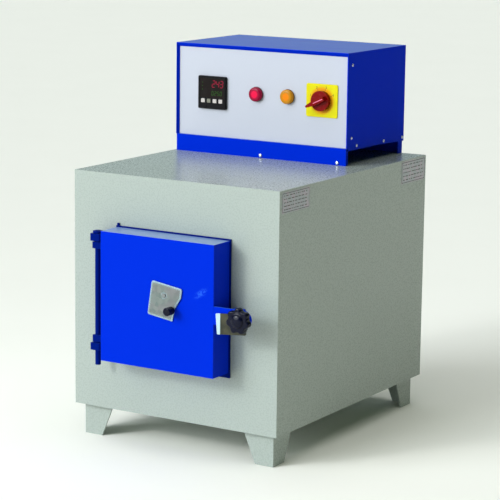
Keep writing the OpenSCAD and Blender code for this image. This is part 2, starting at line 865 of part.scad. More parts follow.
module sight_tube() {
    color(CERAMIC) difference() {
        rod_along_y(0, chamber_z, -door_front, plug_depth, tube_r);
        rod_along_y(0, chamber_z, -door_front - 1, plug_depth + 1, sight_r);
    }
}

module sight_pivot() {
    color(STEEL) {
        rod_along_y(flap_x, flap_z, flap_y0 - 0.4, -door_front + 9, pivot_r);
        rod_along_y(flap_x, flap_z, flap_y0 - 1.6, flap_y0 - 0.4, 4.5);
    }
}

// ---------- Latch ----------

module latch_knob() {
    lobe_r = 6.5;
    core_r = latch_knob_r - 4;
    head_y1 = knob_y0 - hub_l;
    color(BLACK) difference() {
        union() {
            rod_along_y(latch_x, latch_z, head_y1 - 1, knob_y0, 12);
            panel(knob_front, head_y1) translate([latch_x, latch_z]) {
                circle(r = core_r, $fn = round_fn);
                for (i = [0:latch_lobes - 1]) rotate(90 + i * 360 / latch_lobes)
                    translate([latch_knob_r - lobe_r, 0]) circle(r = lobe_r, $fn = round_fn);
            }
            translate([latch_x, knob_front + 1, latch_z]) rotate([90, 0, 0])
                cylinder(h = cap_l + 1, r1 = 13, r2 = 7, $fn = round_fn);
        }
        rod_along_y(latch_x, latch_z, head_y1 - 8, knob_y0 + 1, spindle_r);
    }
}

module latch_spindle() {
    tongue_w = 14;
    tongue_y1 = tongue_y0 + tongue_t;
    color(STEEL) {
        rod_along_y(latch_x, latch_z, knob_y0 - hub_l - 8, tongue_y1 + 3, spindle_r);
        panel(tongue_y0, tongue_y1) {
            translate([latch_x - tongue_w / 2, latch_z - tongue_l + tongue_w / 2])
                square([tongue_w, tongue_l - tongue_w / 2]);
            translate([latch_x, latch_z]) circle(r = tongue_w / 2, $fn = round_fn);
            translate([latch_x, latch_z - tongue_l + tongue_w / 2])
                circle(r = tongue_w / 2, $fn = round_fn);
        }
    }
}

// ---------- Sight cover ----------

// Draws its children in the cover's own plane: X to the right, Y down from its top left corner
module in_flap_plane(y0, y1) {
    translate([flap_x, 0, flap_z]) rotate([0, flap_tilt, 0])
        translate([-flap_pivot[0], 0, flap_pivot[1]])
            panel(y0, y1) mirror([0, 1]) children();
}

module sight_cover() {
    color(ZINC) in_flap_plane(flap_y0, flap_y1) difference() {
        intersection() {
            translate([flap_side / 2, flap_h / 2]) round_rect(flap_side, flap_h, 4);
            polygon(concat([[0, flap_h], [0, 0], [flap_side, 0]], flap_cut));
        }
        translate(flap_pivot) circle(r = pivot_r + running, $fn = round_fn);
    }
}

module sight_cover_knob() {
    color(BLACK) {
        in_flap_plane(flap_y0 - flap_knob_l, flap_y0 - 5)
            translate(flap_knob_at) circle(r = flap_knob_r, $fn = round_fn);
        in_flap_plane(flap_y0 - 5, flap_y0)
            translate(flap_knob_at) circle(r = 5, $fn = round_fn);
    }
}

place() shell();
place() front_panel();
place() rear_panel();
place() base_pan();
place() leg_at(-1, 0);  // leg_front_left
place() leg_at(1, 0);  // leg_front_right
place() leg_at(-1, 1);  // leg_rear_left
place() leg_at(1, 1);  // leg_rear_right
place() leg_bolts();
place() front_brick();
place() insulation_sides();
place() insulation_top();
place() insulation_bottom();
place() insulation_rear();
place() muffle();
place() heating_coil();
place() terminal_block();
place() terminal_nuts();
place() thermocouple_sheath();
place() thermocouple_head();
place() hinge_lugs();
place() latch_keeper();
place() data_plates();
place() panel_screws();
place() control_base();
place() fascia();
place() control_cover();
place() control_rear_panel();
place() controller_body();
place() controller_window();
place() lamp_bodies();
place() color([0.9, 0.1, 0.05]) lens(lamp_x[0]);  // red_lens
place() color([0.95, 0.7, 0.1]) lens(lamp_x[1]);  // amber_lens
place() switch_plate();
place() switch_body();
place() contactor();
place() din_rail();
place() cable_gland();
place() lead_bush();
place() door_pan();
place() door_back_plate();
place() door_insulation();
place() door_plug();
place() hinge_rod();
place() hinge_tabs();
place() hinge_collars();
place() latch_strap();
place() latch_plate();
place() sight_tube();
place() sight_pivot();
place() latch_knob();
place() latch_spindle();
place() sight_cover();
place() sight_cover_knob();
place() selector_knob();
place() selector_shaft();
place() controller_key(0);  // controller_key_1
place() controller_key(1);  // controller_key_2
place() controller_key(2);  // controller_key_3
place() controller_key(3);  // controller_key_4
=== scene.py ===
"""Looks of an electric muffle kiln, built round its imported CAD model. Metres, in the CAD frame."""

import json
import math
import random

import bmesh
import bpy
from mathutils import Matrix, Vector


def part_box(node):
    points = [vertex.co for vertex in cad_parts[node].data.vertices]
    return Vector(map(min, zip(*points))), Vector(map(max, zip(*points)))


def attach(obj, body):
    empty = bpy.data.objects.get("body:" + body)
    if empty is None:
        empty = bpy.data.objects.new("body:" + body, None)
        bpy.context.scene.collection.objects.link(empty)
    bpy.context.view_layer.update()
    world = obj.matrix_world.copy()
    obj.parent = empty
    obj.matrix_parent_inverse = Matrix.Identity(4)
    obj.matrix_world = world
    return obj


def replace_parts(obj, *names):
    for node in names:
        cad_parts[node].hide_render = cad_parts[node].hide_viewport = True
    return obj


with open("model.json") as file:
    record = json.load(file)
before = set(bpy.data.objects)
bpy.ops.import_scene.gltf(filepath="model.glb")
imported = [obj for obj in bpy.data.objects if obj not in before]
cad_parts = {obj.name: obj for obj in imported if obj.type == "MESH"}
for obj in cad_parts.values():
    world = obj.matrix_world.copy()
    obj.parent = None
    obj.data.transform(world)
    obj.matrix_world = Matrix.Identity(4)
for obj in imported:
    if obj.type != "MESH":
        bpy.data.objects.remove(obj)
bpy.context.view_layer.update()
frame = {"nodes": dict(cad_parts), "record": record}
NODES = frame["nodes"]
MM = 0.001
# Corners of CAD faces that lie closer together than this are one corner
SAME_POINT = 0.003 * MM

# The selector's first position, as degrees clockwise from the top, and the step to the next
FIRST_POSITION, POSITION_STEP, POSITIONS = 245, 45, 5


# ---------- Reading the frame ----------


def joint_at(name):
    """Where the record puts a joint."""
    for joint in frame["record"]["behaviour"]["joints"]:
        if joint["name"] == name:
            return Vector(joint["pos_m"])
    raise KeyError(name)


def slot_of(node):
    """The material slot that the record gives a CAD piece."""
    for row in frame["record"]["subparts"]:
        if row["node"] == node:
            return row["material_slot"]
    raise KeyError(node)


def islands(node):
    """The lowest and highest corner of each separate solid in a CAD piece."""
    bm = bmesh.new()
    bm.from_mesh(NODES[node].data)
    bmesh.ops.remove_doubles(bm, verts=bm.verts, dist=SAME_POINT)
    seen, boxes = set(), []
    for start in bm.verts:
        if start in seen:
            continue
        seen.add(start)
        group, edge = [start], [start]
        while edge:
            for link in edge.pop().link_edges:
                for v in link.verts:
                    if v not in seen:
                        seen.add(v)
                        group.append(v)
                        edge.append(v)
        axes = list(zip(*(v.co for v in group)))
        boxes.append((Vector(map(min, axes)), Vector(map(max, axes))))
    bm.free()
    return boxes


# ---------- Shader building ----------


class Shader:
    """A Principled material built from procedural nodes in object coordinates, in metres."""

    def __init__(self, name):
        self.material = bpy.data.materials.new(name)
        self.material.use_nodes = True
        self.tree = self.material.node_tree
        self.bsdf = self.tree.nodes["Principled BSDF"]
        self.place = self.node("ShaderNodeTexCoord").outputs["Object"]
        self.normal = None

    def node(self, kind, **settings):
        made = self.tree.nodes.new(kind)
        for key, value in settings.items():
            setattr(made, key, value)
        return made

    def feed(self, socket, value):
        """Links an output to an input, or sets the input to a plain value."""
        if isinstance(value, bpy.types.NodeSocket):
            self.tree.links.new(value, socket)
        elif isinstance(value, tuple) and len(value) == 3 and socket.type == "RGBA":
            socket.default_value = (*value, 1)
        else:
            socket.default_value = value

    def set(self, **inputs):
        """Sets the shader's own inputs: base_color, roughness and so on."""
        for key, value in inputs.items():
            self.feed(self.bsdf.inputs[key.replace("_", " ").title().replace("Ior", "IOR")], value)
        return self

    def part(self, axis, vector=None):
        """X, Y or Z of a vector, which is the place on the object unless it is given."""
        split = self.node("ShaderNodeSeparateXYZ")
        self.feed(split.inputs[0], vector or self.place)
        return split.outputs[axis]

    def base_color(self):
        """What feeds the base colour so far."""
        return self.bsdf.inputs["Base Color"].links[0].from_socket

    def stretched(self, scale, turn=(0, 0, 0), shift=(0, 0, 0)):
        mapping = self.node("ShaderNodeMapping")
        self.feed(mapping.inputs["Vector"], self.place)
        mapping.inputs["Scale"].default_value = scale
        mapping.inputs["Rotation"].default_value = turn
        mapping.inputs["Location"].default_value = shift
        return mapping.outputs["Vector"]

    def noise(self, scale, detail=2.0, rough=0.5, place=None):
        made = self.node("ShaderNodeTexNoise")
        self.feed(made.inputs["Vector"], place or self.place)
        made.inputs["Scale"].default_value = scale
        made.inputs["Detail"].default_value = detail
        made.inputs["Roughness"].default_value = rough
        return made.outputs["Fac"]

    def cells(self, scale, output="Distance"):
        made = self.node("ShaderNodeTexVoronoi")
        self.feed(made.inputs["Vector"], self.place)
        made.inputs["Scale"].default_value = scale
        return made.outputs[output]

    def between(self, fac, low, high, out_low=0.0, out_high=1.0):
        """Maps low to high smoothly onto out_low to out_high, and holds the ends outside them."""
        made = self.node("ShaderNodeMapRange", interpolation_type="SMOOTHSTEP")
        self.feed(made.inputs["Value"], fac)
        made.inputs["From Min"].default_value = low
        made.inputs["From Max"].default_value = high
        made.inputs["To Min"].default_value = out_low
        made.inputs["To Max"].default_value = out_high
        return made.outputs["Result"]

    def calc(self, operation, a, b=0.0, c=0.0):
        made = self.node("ShaderNodeMath", operation=operation)
        for socket, value in zip(made.inputs, (a, b, c)):
            self.feed(socket, value)
        return made.outputs[0]

    def mix(self, fac, a, b):
        made = self.node("ShaderNodeMix", data_type="RGBA")
        self.feed(made.inputs[0], fac)
        self.feed(made.inputs[6], a)
        self.feed(made.inputs[7], b)
        return made.outputs[2]

    def bump(self, height, distance):
        """Adds a bump of that many metres on top of the bumps made before it."""
        made = self.node("ShaderNodeBump")
        made.inputs["Distance"].default_value = distance
        self.feed(made.inputs["Height"], height)
        if self.normal:
            self.feed(made.inputs["Normal"], self.normal)
        self.normal = made.outputs["Normal"]
        self.feed(self.bsdf.inputs["Normal"], self.normal)

    def upward(self):
        """1 on faces that look up, patchy, and 0 on upright faces: the mask of the dust and painted
        light laid on tops.
        """
        height = self.part("Z", self.node("ShaderNodeNewGeometry").outputs["Normal"])
        patchy = self.between(self.noise(14, 4, 0.6), 0.2, 0.8, 0.75, 1.0)
        return self.calc("MULTIPLY", self.between(height, 0.80, 0.98), patchy)

    def edges(self, radius):
        """1 along sharp edges and 0 on flat faces."""
        rounded = self.node("ShaderNodeBevel", samples=4)
        rounded.inputs["Radius"].default_value = radius
        flat = self.node("ShaderNodeNewGeometry")
        dot = self.node("ShaderNodeVectorMath", operation="DOT_PRODUCT")
        self.feed(dot.inputs[0], rounded.outputs["Normal"])
        self.feed(dot.inputs[1], flat.outputs["Normal"])
        return self.between(dot.outputs["Value"], 0.98, 0.80)

    def near(self, point, radius, squash=(1, 1, 1), tilt=0.0):
        """1 at a point, falling to 0 at a radius round it, which squash shortens once tilted."""
        shift = -(Matrix.Rotation(tilt, 3, "Y") @ Vector(point))
        squashed = self.node("ShaderNodeVectorMath", operation="MULTIPLY")
        self.feed(squashed.inputs[0], self.stretched((1, 1, 1), (0, tilt, 0), tuple(shift)))
        squashed.inputs[1].default_value = squash
        length = self.node("ShaderNodeVectorMath", operation="LENGTH")
        self.feed(length.inputs[0], squashed.outputs[0])
        return self.between(length.outputs["Value"], radius, 0.0)


def lighter(colour, factor):
    """A colour times a factor, which darkens it when it is below 1."""
    return tuple(min(1.0, c * factor) for c in colour)


def painted(name, colour, roughness, chip, upward_dust_and_light, specular=0.5, tint=(1, 1, 1), scuffs=()):
    """Sprayed enamel on sheet steel: orange peel, dust and painted light on upward faces, scuffs and
    rubbed edges.

    The fifth argument is the colour and amount of a layer on faces that look upwards, patchy like
    dust
    and partly painted light: a painted sheen where it is paler than the paint and a painted shade
    where it is darker. Each scuff is a point, a radius, the squash of its ellipsoid and how far that
    tilts.
    """
    s = Shader(name)
    grain = s.between(s.noise(330, 2), 0.3, 0.7)
    tone = s.mix(grain, lighter(colour, 0.994), lighter(colour, 1.006))
    specks = s.between(s.noise(1400, 2, 0.7), 0.62, 0.80, 0.0, 0.10)
    tone = s.mix(specks, tone, lighter(colour, 0.85))
    for point, radius, squash, tilt in scuffs:
        streaks = s.between(s.noise(260, 3, 0.6), 0.40, 0.60)
        rubbed = s.calc("MULTIPLY", s.near(point, radius, squash, tilt), streaks)
        tone = s.mix(s.calc("MULTIPLY", rubbed, 0.55), tone, chip)
    worn = s.calc("MULTIPLY", s.edges(0.9 * MM), s.between(s.noise(160, 4, 0.7), 0.52, 0.66))
    tone = s.mix(s.calc("MULTIPLY", worn, 0.6), tone, chip)
    # On faces that look up: patchy dust with painted light, a painted sheen where the layer is paler
    # and a painted shade where it is darker
    painted_light_film, amount = upward_dust_and_light
    tone = s.mix(s.calc("MULTIPLY", s.upward(), amount), tone, painted_light_film)
    s.set(base_color=tone, specular_ior_level=specular, specular_tint=tint)
    s.set(roughness=s.calc("MULTIPLY_ADD", grain, 0.01, roughness))
    s.bump(s.noise(420, 2), 0.03 * MM)
    return s


def moulded(name, colour, roughness, grain=0.02, specular=0.5):
    """Moulded plastic with a fine spark-eroded grain."""
    s = Shader(name)
    tone = s.mix(s.noise(60, 4), lighter(colour, 0.88), lighter(colour, 1.12))
    rub = s.calc("MULTIPLY", s.edges(0.8 * MM), s.noise(420, 3))
    rubbed = tuple(min(1.0, c * 1.5 + 0.02) for c in colour)
    tone = s.mix(s.calc("MULTIPLY", rub, 0.5), tone, rubbed)
    s.set(base_color=tone, specular_ior_level=specular)
    s.set(roughness=s.between(s.noise(120, 3), 0.3, 0.7, roughness - 0.04, roughness + 0.06))
    s.bump(s.cells(2200), grain * MM)
    return s


def metal(name, colour, roughness, grain=(1, 1, 40), smear=0.12, pits=0.0):
    """Bare or plated metal, with brushing or turning marks along one axis."""
    s = Shader(name)
    brushed = s.noise(90, 4, 0.6, s.stretched(grain))
    tone = s.mix(brushed, lighter(colour, 1 - smear), lighter(colour, 1 + smear))
    stain = s.between(s.noise(35, 5, 0.65), 0.52, 0.72)
    tone = s.mix(s.calc("MULTIPLY", stain, 0.35), tone, lighter(colour, 0.55))
    s.set(base_color=tone, metallic=1.0)
    s.set(roughness=s.between(brushed, 0.25, 0.75, roughness - 0.06, roughness + 0.10))
    s.bump(brushed, 0.012 * MM)
    if pits:
        s.bump(s.cells(700), pits * MM)
    return s


def spangled_zinc(name, shade_from=None):
    """Dulled zinc plating with faint crystals and a painted highlight along its edges. Given an X
    limit, it is painted pale up to that limit, a painted highlight, and dark olive past it, a
    painted shade.
    """
    s = Shader(name)
    crystals = s.cells(130, output="Color")
    grey = s.node("ShaderNodeRGBToBW")
    s.feed(grey.inputs[0], crystals)
    tone = s.mix(grey.outputs[0], (0.115, 0.155, 0.145), (0.19, 0.22, 0.205))
    cloud = s.between(s.noise(45, 4), 0.35, 0.7)
    tone = s.mix(s.calc("MULTIPLY", cloud, 0.5), tone, (0.19, 0.165, 0.185))
    # A pale blue-white band up to 7 mm in from every edge: a painted highlight
    rim = s.edges(7.0 * MM)
    tone = s.mix(s.calc("MULTIPLY", rim, 0.9), tone, (0.42, 0.63, 0.74))
    # With an X limit: pale up to it, a painted highlight, and dark olive past it, a painted shade
    # behind the latch knob
    if shade_from:
        shade_mask = s.between(s.part("X"), shade_from, shade_from + 2 * MM)
        painted_light_film = s.mix(
            s.between(s.noise(70, 3), 0.3, 0.7), (0.018, 0.020, 0.011), (0.052, 0.052, 0.028))
        tone = s.mix(shade_mask, (0.42, 0.58, 0.64), painted_light_film)
    s.set(base_color=tone, metallic=0.55, specular_ior_level=0.6)
    s.set(roughness=s.between(grey.outputs[0], 0, 1, 0.34, 0.50))
    s.bump(s.noise(90, 4, 0.6, s.stretched((40, 1, 1))), 0.01 * MM)
    return s


def refractory(name, colour, pore, scale, speck):
    """Porous fired or fibrous material: pits, specks and faint scorching."""
    s = Shader(name)
    tone = s.mix(s.noise(18, 6, 0.6), lighter(colour, 0.86), lighter(colour, 1.06))
    specks = s.between(s.noise(scale * 3, 2, 0.8), 0.64, 0.72)
    tone = s.mix(s.calc("MULTIPLY", specks, 0.6), tone, speck)
    s.set(base_color=tone, roughness=0.92, specular_ior_level=0.15)
    s.bump(s.between(s.cells(scale), 0.0, 0.35), pore * MM)
    s.bump(s.noise(scale * 2, 5, 0.7), pore * MM)
    return s


def switch_yellow(name, colour, glow_colour):
    """A yellow moulded plate with an orange disc round its knob, a painted glow."""
    s = moulded(name, colour, 0.34, specular=0.12)
    # An orange disc round the knob: a painted glow
    disc = s.between(s.near(joint_at("selector_turn"), 40 * MM), 0.12, 0.42)
    s.set(base_color=s.mix(s.calc("MULTIPLY", disc, 0.9), s.base_color(), glow_colour))
    return s


def scorched(name, colour):
    """The muffle's ceramic, browned towards its mouth."""
    s = refractory(name, colour, 0.15, 420, (0.36, 0.24, 0.15))
    mouth_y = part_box("muffle")[0].y
    depth = s.between(s.part("Y"), mouth_y + 0.06, mouth_y)
    soot = s.calc("MULTIPLY", depth, s.between(s.noise(40, 5, 0.6), 0.35, 0.7))
    s.set(base_color=s.mix(s.calc("MULTIPLY", soot, 0.45), s.base_color(), (0.30, 0.20, 0.13)))
    return s


def glazed(name, colour):
    """Glazed porcelain, slightly wavy."""
    s = Shader(name)
    s.set(base_color=s.mix(s.noise(60, 4), lighter(colour, 0.93), lighter(colour, 1.03)))
    s.set(roughness=s.between(s.noise(200, 3), 0.3, 0.7, 0.12, 0.24), coat_weight=0.6)
    s.bump(s.noise(240, 2), 0.03 * MM)
    return s


def lamp_lens(name, core, rim, glow):
    """A translucent cap over a lit lamp: bright in the middle, deeper at its rim."""
    s = Shader(name)
    lo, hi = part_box(name)
    middle = Vector(((lo.x + hi.x) / 2, lo.y, (lo.z + hi.z) / 2))
    inside = s.near(middle, 14.5 * MM)
    tone = s.mix(s.between(inside, 0.22, 0.72), rim, core)
    s.set(base_color=tone, roughness=0.22, specular_ior_level=0.12, coat_weight=0.12)
    s.set(emission_color=tone, emission_strength=glow)
    s.bump(s.between(s.noise(700, 2), 0.3, 0.7, 0.9, 1.1), 0.02 * MM)
    return s


def printed_foil(name):
    """A blank foil label with faint printed bands."""
    s = Shader(name)
    rows = s.calc("FRACT", s.calc("MULTIPLY", s.part("Z"), 110.0))
    line = s.between(rows, 0.90, 0.97)
    blotch = s.between(s.noise(90, 3), 0.45, 0.62)
    tone = s.mix(blotch, (0.36, 0.39, 0.41), (0.46, 0.41, 0.46))
    tone = s.mix(s.calc("MULTIPLY", line, 0.35), tone, (0.30, 0.31, 0.33))
    s.set(base_color=tone, roughness=0.3, metallic=0.25)
    s.bump(s.noise(200, 2), 0.02 * MM)
    return s


def smoked(name):
    """Dark tinted plastic, wiped but not clean."""
    s = Shader(name)
    s.set(base_color=s.mix(s.noise(40, 3), (0.006, 0.004, 0.004), (0.012, 0.007, 0.007)))
    s.set(roughness=s.between(s.noise(70, 4), 0.3, 0.7, 0.10, 0.22), specular_ior_level=0.15)
    return s


def lit(name, colour, strength):
    """A light-emitting segment, slightly uneven."""
    s = Shader(name)
    s.set(base_color=lighter(colour, 0.3), roughness=0.4, specular_ior_level=0.1)
    s.set(emission_color=s.mix(s.noise(800, 2), lighter(colour, 0.75), colour))
    s.set(emission_strength=strength)
    return s


# ---------- The looks ----------

GREY = (0.334, 0.384, 0.350)
BLUE = (0.0004, 0.0215, 0.540)
# A darker copy of the door blue, a painted shade, worn by the hinge and the door's back plate
SHADED_BLUE = (0.0004, 0.0080, 0.150)
FASCIA = (0.465, 0.488, 0.560)
RUBBED_BLUE = (0.03, 0.16, 0.80)
BLUE_SHEEN = (0.05, 0.25, 1)

# A scuff beside the latch, which runs up to the right
door_lo, door_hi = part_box("door_pan")
scuff_at = Vector((door_hi.x - 28 * MM, door_lo.y, (door_lo.z + door_hi.z) / 2 + 32 * MM))
door_scuffs = [(scuff_at, 24 * MM, (1, 1, 2.6), math.radians(35))]

LOOKS = {
    # Each paint's fifth argument tints its tops: a painted shade on the grey and a painted sheen on
    # the blues, with patchy dust in both
    "cabinet_paint": painted(
        "cabinet_paint", GREY, 0.27, lighter(GREY, 1.3), ((0.255, 0.290, 0.245), 0.6)),
    "blue_paint": painted(
        "blue_paint", BLUE, 0.20, RUBBED_BLUE, ((0.06, 0.20, 0.46), 0.45), 0.008, BLUE_SHEEN),
    "door_paint": painted(
        "door_paint", BLUE, 0.20, RUBBED_BLUE, ((0.25, 0.37, 0.50), 0.9), 0.03, BLUE_SHEEN,
        door_scuffs),
    # The hinge paint: the darker blue, a painted shade
    "hinge_paint": painted(
        "hinge_paint", SHADED_BLUE, 0.30, (0.02, 0.07, 0.40), ((0.01, 0.03, 0.2), 0.5), 0.03, BLUE_SHEEN),
    "fascia_paint": painted(
        "fascia_paint", FASCIA, 0.30, lighter(FASCIA, 1.2), (FASCIA, 0.0)),
    "yellow_plate": switch_yellow("yellow_plate", (0.66, 0.60, 0.001), (0.75, 0.26, 0.001)),
    "red_knob": moulded("red_knob", (0.20, 0.0012, 0.0015), 0.22, specular=0.12),
    "black_plastic": moulded("black_plastic", (0.0035, 0.0035, 0.005), 0.30, specular=0.10),
    "knob_plastic": moulded("knob_plastic", (0.002, 0.003, 0.014), 0.16, 0.004, 0.05).set(
        coat_weight=0.25, coat_roughness=0.10),
    "grey_keys": moulded("grey_keys", (0.50, 0.46, 0.44), 0.45),
    "dull_key": moulded("dull_key", (0.15, 0.15, 0.11), 0.45),
    # A paler pink for the line on the selector's grip, a painted highlight
    "grip_highlight": moulded("grip_highlight", (0.80, 0.16, 0.30), 0.35),
    "print": moulded("print", (0.030, 0.028, 0.022), 0.6, 0.002, 0.2),
    "smoked_window": smoked("smoked_window"),
    "steel": metal("steel", (0.50, 0.51, 0.53), 0.32),
    "zinc_steel": spangled_zinc("zinc_steel"),
    "dull_rivet": metal("dull_rivet", (0.20, 0.22, 0.22), 0.5),
    # The latch plate: a painted highlight along its left 9 mm and a painted shade behind the star
    # knob
    "lit_and_shaded_zinc": spangled_zinc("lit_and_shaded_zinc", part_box("latch_plate")[0].x + 9 * MM),
    "screws": metal("screws", (0.66, 0.70, 0.78), 0.24, (1, 1, 1), 0.08),
    "element_alloy": metal("element_alloy", (0.13, 0.12, 0.11), 0.6, (8, 1, 1), 0.3, 0.1),
    "brass": metal("brass", (0.62, 0.42, 0.12), 0.3),
    "firebrick": refractory("firebrick", (0.72, 0.62, 0.44), 0.6, 260, (0.30, 0.18, 0.10)),
    "fibre_board": refractory("fibre_board", (0.80, 0.78, 0.72), 0.25, 520, (0.55, 0.50, 0.42)),
    "muffle_ceramic": scorched("muffle_ceramic", (0.70, 0.62, 0.50)),
    "porcelain": glazed("porcelain", (0.82, 0.80, 0.75)),
    "label_foil": printed_foil("label_foil"),
    "red_digits": lit("red_digits", (0.60, 0.008, 0.060), 0.22),
    "green_digits": lit("green_digits", (0.05, 0.22, 0.02), 0.14),
    "red_lens": lamp_lens("red_lens", (0.62, 0.002, 0.045), (0.20, 0.0002, 0.022), 0.38),
    "amber_lens": lamp_lens("amber_lens", (0.62, 0.17, 0.001), (0.38, 0.16, 0.004), 0.34),
}

# CAD pieces that look different from the rest of their material slot
OTHER_LOOKS = {
    # The hinge and the door's back plate wear the darker blue, a painted shade
    "hinge_lugs": "hinge_paint", "hinge_rod": "hinge_paint", "hinge_tabs": "hinge_paint",
    "hinge_collars": "hinge_paint", "door_back_plate": "hinge_paint",
    "controller_key_2": "dull_key",
    # The latch plate's look carries a painted highlight and a painted shade
    "door_pan": "door_paint", "latch_plate": "lit_and_shaded_zinc", "sight_pivot": "dull_rivet",
}

# How far the edges of CAD pieces are rounded, in millimetres, by material slot
ROUNDING = {
    "cabinet_paint": 0.7, "blue_paint": 0.6, "fascia_paint": 0.3, "yellow_plate": 0.4,
    "red_knob": 0.9, "black_plastic": 0.6, "grey_keys": 0.5, "steel": 0.4, "zinc_steel": 0.5,
    "screws": 0.4, "brass": 0.4, "firebrick": 1.2, "fibre_board": 1.5, "muffle_ceramic": 1.2,
    "porcelain": 0.6, "element_alloy": 0.8,
}


def wear(piece, slot, look=None):
    """Gives a piece its material: the named look, else the look of its slot."""
    piece.data.materials.clear()
    piece.data.materials.append(LOOKS[look or slot].material)


# ---------- Mesh building ----------


def piece_from(bm, name, body, slot, look=None):
    """Turns a bmesh into a piece that rides on a body."""
    bmesh.ops.recalc_face_normals(bm, faces=bm.faces)
    mesh = bpy.data.meshes.new(name)
    bm.to_mesh(mesh)
    bm.free()
    mesh.polygons.foreach_set("use_smooth", [True] * len(mesh.polygons))
    mesh.set_sharp_from_angle(angle=math.radians(35))
    piece = bpy.data.objects.new(name, mesh)
    bpy.context.scene.collection.objects.link(piece)
    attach(piece, body)
    wear(piece, slot, look)
    return piece


def round_off(piece, width):
    """Rounds a piece's sharp edges with a modifier."""
    bevel = piece.modifiers.new("round_edges", "BEVEL")
    bevel.width = width
    bevel.segments = 2
    bevel.limit_method = "ANGLE"
    bevel.angle_limit = math.radians(32)


def softened(node, width):
    """Rounds a CAD piece's sharp edges with modifiers, leaving its own mesh as it is."""
    obj = NODES[node]
    obj.data.polygons.foreach_set("use_smooth", [True] * len(obj.data.polygons))
    weld = obj.modifiers.new("weld", "WELD")
    weld.merge_threshold = SAME_POINT
    flat = obj.modifiers.new("flat_faces", "DECIMATE")
    flat.decimate_type = "DISSOLVE"
    flat.angle_limit = math.radians(0.3)
    round_off(obj, width)
    obj.modifiers.new("normals", "WEIGHTED_NORMAL")


def lathe(bm, profile, centre, axis="Y", segments=48):
    """Adds a closed turned shape round Y or Z.

    profile is (radius, distance along the axis) from end to end.
    """
    place = Matrix.Translation(centre)
    if axis == "Y":
        place = place @ Matrix.Rotation(-math.pi / 2, 4, "X")
    rings = []
    for radius, along in profile:
        if radius < 1e-6:
            rings.append([bm.verts.new(place @ Vector((0, 0, along)))])
            continue
        ring = []
        for i in range(segments):
            angle = 2 * math.pi * i / segments
            ring.append(bm.verts.new(
                place @ Vector((radius * math.cos(angle), radius * math.sin(angle), along))))
        rings.append(ring)
    for low, high in zip(rings, rings[1:]):
        for i in range(segments):
            j = (i + 1) % segments
            if len(low) == 1:
                bm.faces.new((low[0], high[j], high[i]))
            elif len(high) == 1:
                bm.faces.new((low[i], low[j], high[0]))
            else:
                bm.faces.new((low[i], low[j], high[j], high[i]))
    for ring, flip in ((rings[0], True), (rings[-1], False)):
        if len(ring) > 1:
            bm.faces.new(reversed(ring) if flip else ring)


def slab(bm, lo, hi, turn=None):
    """Adds a box from its lowest to its highest corner, and then turns it."""
    lo, hi = Vector(lo), Vector(hi)
    matrix = Matrix.Translation((lo + hi) / 2) @ Matrix.Diagonal((*(hi - lo), 1))
    made = bmesh.ops.create_cube(bm, size=1, matrix=matrix)
    if turn:
        bmesh.ops.transform(bm, matrix=turn, verts=made["verts"])


def dome(radius, height, steps=6):
    """Profile of a shallow dome from its rim to its crown, going along +axis."""
    points = []
    for i in range(steps + 1):
        angle = math.pi / 2 * i / steps
        points.append((radius * math.cos(angle), height * math.sin(angle)))
    points[-1] = (0, height)
    return points


# ---------- Screws ----------


def pointing(direction):
    """The turn that points Z in a direction."""
    return Vector(direction).to_track_quat("Z", "Y").to_matrix().to_4x4()


def screw_head(bm, centre, out, radius, height, spin):
    """A pan head with a cross recess. out is the direction that the head faces."""
    local = bmesh.new()
    profile = [(0, 0), (radius, 0), (radius, height * 0.3)]
    profile += [(radius * r, height * (0.3 + 0.7 * h)) for r, h in dome(1, 1, 9)[1:]]
    lathe(local, profile, (0, 0, 0), "Z", 48)
    arm, half_slot = radius * 0.55, radius * 0.16
    for v in local.verts:
        x, y = abs(v.co.x), abs(v.co.y)
        if v.co.z > height * 0.4 and min(x, y) < half_slot and max(x, y) < arm:
            v.co.z = height * 0.4
    place = Matrix.Translation(centre) @ pointing(out)
    join(bm, local, place @ Matrix.Rotation(spin, 4, "Z"))


def join(bm, local, place):
    """Moves one bmesh into another, at a place."""
    mesh = bpy.data.meshes.new("part")
    local.to_mesh(mesh)
    local.free()
    mesh.transform(place)
    bm.from_mesh(mesh)
    bpy.data.meshes.remove(mesh)


def make_panel_screws():
    """Cross-head screws in place of the plain ones. Each one faces out of the sheet it holds."""
    box_lo, box_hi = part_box("control_cover")
    rear_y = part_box("rear_panel")[1].y
    bm = bmesh.new()
    for i, (lo, hi) in enumerate(islands("panel_screws")):
        mid = (lo + hi) / 2
        if hi.y > rear_y:
            out, size = (0, 1, 0), hi.x - lo.x
        elif hi.x > box_hi.x:
            out, size = (1, 0, 0), hi.y - lo.y
        elif lo.x < box_lo.x:
            out, size = (-1, 0, 0), hi.y - lo.y
        else:
            out, size = (0, -1, 0), hi.x - lo.x
        out = Vector(out)
        reach = abs((hi - lo).dot(out)) / 2
        tip = mid + out * reach
        height = 1.6 * MM
        screw_head(bm, tip - out * height, out, size / 2, height, 0.7 + 1.3 * i)
        shank = bmesh.new()
        lathe(shank, [(0, 0), (1.4 * MM, 0), (1.4 * MM, 2 * reach - height),
                      (0, 2 * reach - height)], (0, 0, 0), "Z", 24)
        join(bm, shank, Matrix.Translation(mid - out * reach) @ pointing(out))
    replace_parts(piece_from(bm, "screws_cross_head", "cabinet", "screws"), "panel_screws")


# ---------- Knobs, lamps and display ----------


def lobed_radius(angle, lobes, outer, lobe_r, core):
    """Distance from a star knob's axis to its outline, where round lobes stand out of a core."""
    step = 2 * math.pi / lobes
    off = (angle - math.pi / 2 + step / 2) % step - step / 2
    centre = outer - lobe_r
    inside = lobe_r ** 2 - (centre * math.sin(off)) ** 2
    reach = centre * math.cos(off) + math.sqrt(inside) if inside > 0 else 0
    return max(core, reach)


